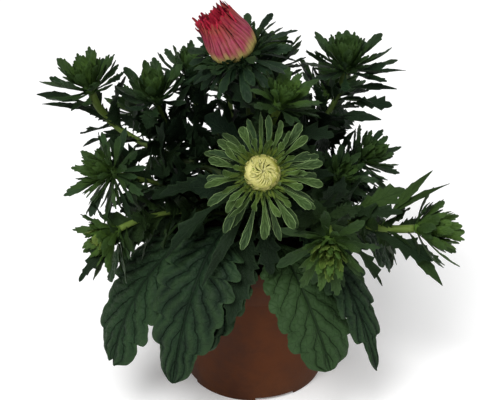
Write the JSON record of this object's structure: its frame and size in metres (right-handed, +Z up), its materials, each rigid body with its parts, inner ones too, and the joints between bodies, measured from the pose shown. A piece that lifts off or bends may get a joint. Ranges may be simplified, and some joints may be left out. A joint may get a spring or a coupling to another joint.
{
  "type": "potted aster",
  "caption": "Aster plant in a round tapered plastic pot of soil: leafy stems with buds in bract rosettes, an opening pink flower and broad toothed leaves over the rim.",
  "frame": {"origin": "centre of the pot's foot, on the plane it stands on", "axes": "+Z up along the pot's axis, -Y towards the front, where the head with the pale bud faces"},
  "size_m": [0.2503, 0.2155, 0.2457],
  "materials": {
    "pot_plastic": "matte",
    "soil_peat": "matte",
    "leaf_green": "satin",
    "bract_green": "satin",
    "basal_green": "satin",
    "petal_pink": "matte",
    "bud_pale": "matte"
  },
  "bodies": {
    "root": {"pot": "pot_plastic", "soil": "soil_peat", "main_stem": "leaf_green", "head_pink": "bract_green", "stem_01": "leaf_green", "head_01": "bract_green", "stem_02": "leaf_green", "head_02": "bract_green", "stem_03": "leaf_green", "head_03": "bract_green", "stem_04": "leaf_green", "head_04": "bract_green", "stem_05": "leaf_green", "head_05": "bract_green", "stem_06": "leaf_green", "head_06": "bract_green", "stem_07": "leaf_green", "head_07": "bract_green", "stem_08": "leaf_green", "head_08": "bract_green", "stem_09": "leaf_green", "head_09": "bract_green", "stem_10": "leaf_green", "head_10": "bract_green", "stem_11": "leaf_green", "head_11": "bract_green", "stem_12": "leaf_green", "head_12": "bract_green", "stem_13": "leaf_green", "head_13": "bract_green", "stem_14": "leaf_green", "head_14": "bract_green", "stem_15": "leaf_green", "head_15": "bract_green", "stem_16": "leaf_green", "head_16": "bract_green", "pink_petals": "petal_pink", "pale_bud": "bud_pale", "basal_leaf_01": "basal_green", "basal_leaf_02": "basal_green", "basal_leaf_03": "basal_green", "basal_leaf_04": "basal_green", "basal_leaf_05": "basal_green", "basal_leaf_06": "basal_green", "basal_leaf_07": "basal_green", "basal_leaf_08": "basal_green", "basal_leaf_09": "basal_green", "basal_leaf_10": "basal_green", "basal_leaf_11": "basal_green", "basal_leaf_12": "basal_green"}
  },
  "joints": []
}
